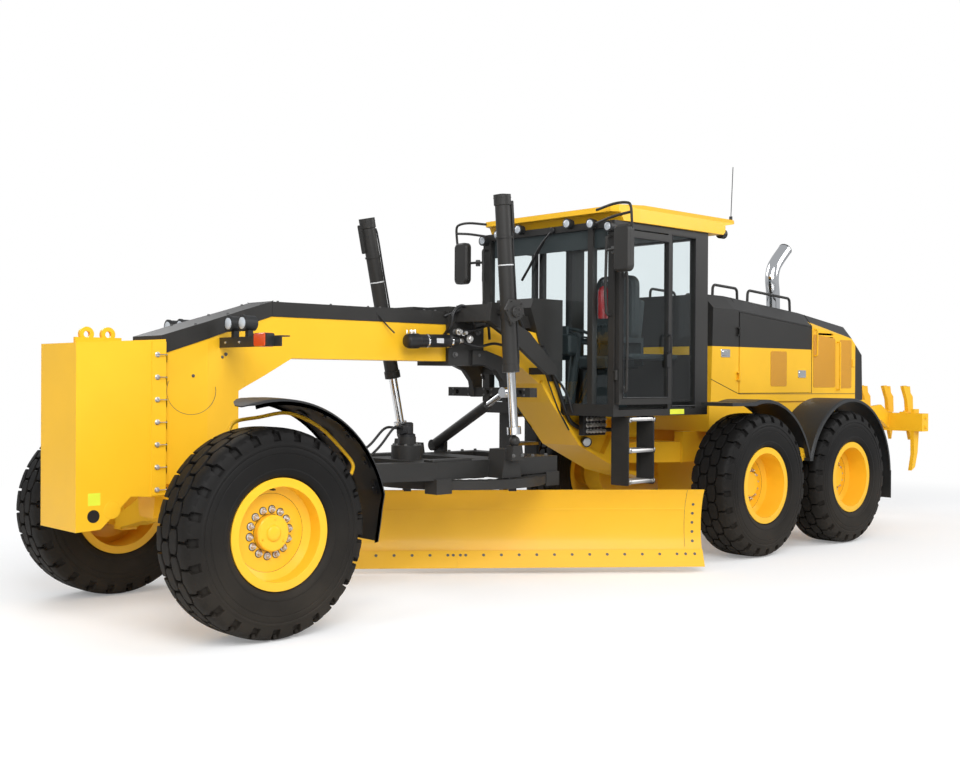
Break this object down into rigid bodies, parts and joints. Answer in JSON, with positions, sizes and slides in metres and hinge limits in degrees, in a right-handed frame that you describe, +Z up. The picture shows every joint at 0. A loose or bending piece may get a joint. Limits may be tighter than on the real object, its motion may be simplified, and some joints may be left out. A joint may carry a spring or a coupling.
{
  "type": "motor grader",
  "caption": "Articulated motor grader with gooseneck frame, turning circle and curved blade on a drawbar, leaning front wheels, glazed cab, tandem rear wheels and rear ripper.",
  "frame": {"origin": "on the ground under the middle of the overall box", "axes": "+X forward, +Y to the operator's left, +Z up"},
  "size_m": [10.18, 2.802, 3.7252],
  "materials": {
    "yellow_paint": "satin",
    "black_paint": "satin",
    "tinted_glass": "gloss",
    "trim_plastic": "matte",
    "lamp_plastic": "satin",
    "black_plastic": "matte",
    "rod_chrome": "gloss",
    "hood_paint": "satin",
    "engine_iron": "matte",
    "chrome": "gloss",
    "tyre_rubber": "matte"
  },
  "bodies": {
    "root": {"main_frame": "yellow_paint", "frame_cover": "black_paint", "nose_weight": "yellow_paint", "saddle": "black_paint", "front_tower": "black_paint", "cab_frame": "black_paint", "cab_roof": "yellow_paint", "cab_glass": "tinted_glass", "cab_interior": "trim_plastic", "mirrors": "black_paint", "steps": "black_paint", "front_lamps": "lamp_plastic", "antenna": "black_plastic"},
    "front_axle": {"front_axle": "yellow_paint"},
    "drawbar_ball": {"drawbar_ball": "black_paint"},
    "drawbar": {"drawbar": "black_paint"},
    "circle": {"circle": "black_paint"},
    "blade_carrier": {"blade_carrier": "black_paint"},
    "moldboard": {"moldboard": "yellow_paint", "cutting_edge": "yellow_paint"},
    "shift_barrel": {"shift_barrel": "black_paint"},
    "shift_rod": {"shift_rod": "rod_chrome"},
    "rear_frame": {"rear_frame": "yellow_paint", "hood": "hood_paint", "engine": "engine_iron", "exhaust": "chrome", "handrails": "black_paint"},
    "ripper": {"ripper": "yellow_paint"},
    "lean_left": {"lean_left": "yellow_paint"},
    "knuckle_left": {"knuckle_left": "yellow_paint", "fender_front_left": "black_plastic"},
    "wheel_front_left": {"tyre_front_left": "tyre_rubber", "rim_front_left": "yellow_paint"},
    "lean_right": {"lean_right": "yellow_paint"},
    "knuckle_right": {"knuckle_right": "yellow_paint", "fender_front_right": "black_plastic"},
    "wheel_front_right": {"tyre_front_right": "tyre_rubber", "rim_front_right": "yellow_paint"},
    "lift_barrel_left": {"lift_barrel_left": "black_paint"},
    "lift_rod_left": {"lift_rod_left": "rod_chrome"},
    "lift_barrel_right": {"lift_barrel_right": "black_paint"},
    "lift_rod_right": {"lift_rod_right": "rod_chrome"},
    "cab_door_left": {"door_left": "black_paint", "door_glass_left": "tinted_glass"},
    "cab_door_right": {"door_right": "black_paint", "door_glass_right": "tinted_glass"},
    "side_door_left": {"side_door_left": "hood_paint"},
    "tandem_left": {"tandem_left": "yellow_paint", "fender_rear_left": "black_plastic"},
    "wheel_middle_left": {"tyre_middle_left": "tyre_rubber", "rim_middle_left": "yellow_paint"},
    "wheel_rear_left": {"tyre_rear_left": "tyre_rubber", "rim_rear_left": "yellow_paint"},
    "side_door_right": {"side_door_right": "hood_paint"},
    "tandem_right": {"tandem_right": "yellow_paint", "fender_rear_right": "black_plastic"},
    "wheel_middle_right": {"tyre_middle_right": "tyre_rubber", "rim_middle_right": "yellow_paint"},
    "wheel_rear_right": {"tyre_rear_right": "tyre_rubber", "rim_rear_right": "yellow_paint"}
  },
  "joints": [
    {"name": "axle_swing", "type": "hinge", "parent": "root", "child": "front_axle", "pos_m": [4.195, -0.07, 0.76], "axis": [1, 0, 0], "range_deg": [-16, 16]},
    {"name": "wheel_lean_left", "type": "hinge", "parent": "front_axle", "child": "lean_left", "pos_m": [4.195, 0.675, 0.6], "axis": [-1, 0, 0], "range_deg": [-18, 18]},
    {"name": "steer_left", "type": "hinge", "parent": "lean_left", "child": "knuckle_left", "pos_m": [4.195, 0.78, 0.674], "axis": [0, 0, 1], "range_deg": [-42, 42]},
    {"name": "wheel_spin_front_left", "type": "hinge", "parent": "knuckle_left", "child": "wheel_front_left", "pos_m": [4.195, 1.009, 0.674], "axis": [0, 1, 0], "continuous": true},
    {"name": "wheel_lean_right", "type": "hinge", "parent": "front_axle", "child": "lean_right", "pos_m": [4.195, -0.815, 0.6], "axis": [-1, 0, 0], "range_deg": [-18, 18]},
    {"name": "steer_right", "type": "hinge", "parent": "lean_right", "child": "knuckle_right", "pos_m": [4.195, -0.92, 0.674], "axis": [0, 0, 1], "range_deg": [-42, 42]},
    {"name": "wheel_spin_front_right", "type": "hinge", "parent": "knuckle_right", "child": "wheel_front_right", "pos_m": [4.195, -1.149, 0.674], "axis": [0, 1, 0], "continuous": true},
    {"name": "drawbar_swing", "type": "hinge", "parent": "root", "child": "drawbar_ball", "pos_m": [3.795, -0.07, 0.95], "axis": [0, 0, -1], "range_deg": [-12, 12]},
    {"name": "drawbar_lift", "type": "hinge", "parent": "drawbar_ball", "child": "drawbar", "pos_m": [3.795, -0.07, 0.95], "axis": [0, -1, 0], "range_deg": [-10.4, 20.2]},
    {"name": "circle_turn", "type": "hinge", "parent": "drawbar", "child": "circle", "pos_m": [1.565, -0.07, 0.85], "axis": [0, 0, 1], "continuous": true},
    {"name": "blade_tilt", "type": "hinge", "parent": "circle", "child": "blade_carrier", "pos_m": [1.47121, -0.18706, 0.3], "axis": [-0.7804, 0.6252, 0], "range_deg": [-5, 42]},
    {"name": "blade_shift", "type": "slide", "parent": "blade_carrier", "child": "moldboard", "axis": [-0.7804, 0.6252, 0], "range_m": [-0.683, 0.683]},
    {"name": "lift_sway_left", "type": "hinge", "parent": "root", "child": "lift_barrel_left", "pos_m": [1.66606, 0.65, 2.2], "axis": [0, -1, 0], "range_deg": [-1.64, 2.62]},
    {"name": "lift_stroke_left", "type": "slide", "parent": "lift_barrel_left", "child": "lift_rod_left", "axis": [-0.0788, 0, -0.9969], "range_m": [-0.4024, 0.7779]},
    {"name": "lift_sway_right", "type": "hinge", "parent": "root", "child": "lift_barrel_right", "pos_m": [1.80854, -0.79, 2.2], "axis": [0, -1, 0], "range_deg": [-3.82, 6.86]},
    {"name": "lift_stroke_right", "type": "slide", "parent": "lift_barrel_right", "child": "lift_rod_right", "axis": [-0.2131, 0, -0.977], "range_m": [-0.401, 0.7751]},
    {"name": "shift_sway", "type": "hinge", "parent": "drawbar", "child": "shift_barrel", "pos_m": [1.345, -0.63, 1.06], "axis": [1, 0, 0], "range_deg": [-17.12, 32.31]},
    {"name": "shift_stroke", "type": "slide", "parent": "shift_barrel", "child": "shift_rod", "axis": [-0.0197, 0.8779, 0.4784], "range_m": [-0.1674, 0.3213]},
    {"name": "door_swing_left", "type": "hinge", "parent": "root", "child": "cab_door_left", "pos_m": [0.473, 0.775, 2], "axis": [0, 0, -1], "range_deg": [0, 80]},
    {"name": "door_swing_right", "type": "hinge", "parent": "root", "child": "cab_door_right", "pos_m": [0.473, -0.915, 2], "axis": [0, 0, 1], "range_deg": [0, 80]},
    {"name": "articulation", "type": "hinge", "parent": "root", "child": "rear_frame", "pos_m": [-0.555, -0.07, 0.95], "axis": [0, 0, -1], "range_deg": [-22, 22]},
    {"name": "side_door_swing_left", "type": "hinge", "parent": "rear_frame", "child": "side_door_left", "pos_m": [-1.727, 0.53, 1.9], "axis": [0, 0, -1], "range_deg": [0, 80]},
    {"name": "tandem_swing_left", "type": "hinge", "parent": "rear_frame", "child": "tandem_left", "pos_m": [-1.965, 0.65, 0.674], "axis": [0, -1, 0], "range_deg": [-15, 15]},
    {"name": "wheel_spin_middle_left", "type": "hinge", "parent": "tandem_left", "child": "wheel_middle_left", "pos_m": [-1.195, 1.009, 0.674], "axis": [0, 1, 0], "continuous": true},
    {"name": "wheel_spin_rear_left", "type": "hinge", "parent": "tandem_left", "child": "wheel_rear_left", "pos_m": [-2.735, 1.009, 0.674], "axis": [0, 1, 0], "continuous": true},
    {"name": "side_door_swing_right", "type": "hinge", "parent": "rear_frame", "child": "side_door_right", "pos_m": [-1.727, -0.67, 1.9], "axis": [0, 0, 1], "range_deg": [0, 80]},
    {"name": "tandem_swing_right", "type": "hinge", "parent": "rear_frame", "child": "tandem_right", "pos_m": [-1.965, -0.79, 0.674], "axis": [0, -1, 0], "range_deg": [-15, 15]},
    {"name": "wheel_spin_middle_right", "type": "hinge", "parent": "tandem_right", "child": "wheel_middle_right", "pos_m": [-1.195, -1.149, 0.674], "axis": [0, 1, 0], "continuous": true},
    {"name": "wheel_spin_rear_right", "type": "hinge", "parent": "tandem_right", "child": "wheel_rear_right", "pos_m": [-2.735, -1.149, 0.674], "axis": [0, 1, 0], "continuous": true},
    {"name": "ripper_lift", "type": "hinge", "parent": "rear_frame", "child": "ripper", "pos_m": [-4.495, -0.07, 1.3], "axis": [0, -1, 0], "range_deg": [0, 38]}
  ],
  "couplings": [
    {"joint": "wheel_lean_right", "follows": "wheel_lean_left", "ratio": 1},
    {"joint": "steer_right", "follows": "steer_left", "ratio": 1},
    {"joint": "lift_sway_left", "follows": "drawbar_lift", "ratio": 0.1},
    {"joint": "lift_stroke_left", "follows": "drawbar_lift", "m_per_rad": 2.1951},
    {"joint": "lift_sway_right", "follows": "drawbar_lift", "ratio": 0.31},
    {"joint": "lift_stroke_right", "follows": "drawbar_lift", "m_per_rad": 2.1872},
    {"joint": "shift_sway", "follows": "drawbar_lift", "ratio": 1.55},
    {"joint": "shift_stroke", "follows": "drawbar_lift", "m_per_rad": 0.9}
  ]
}
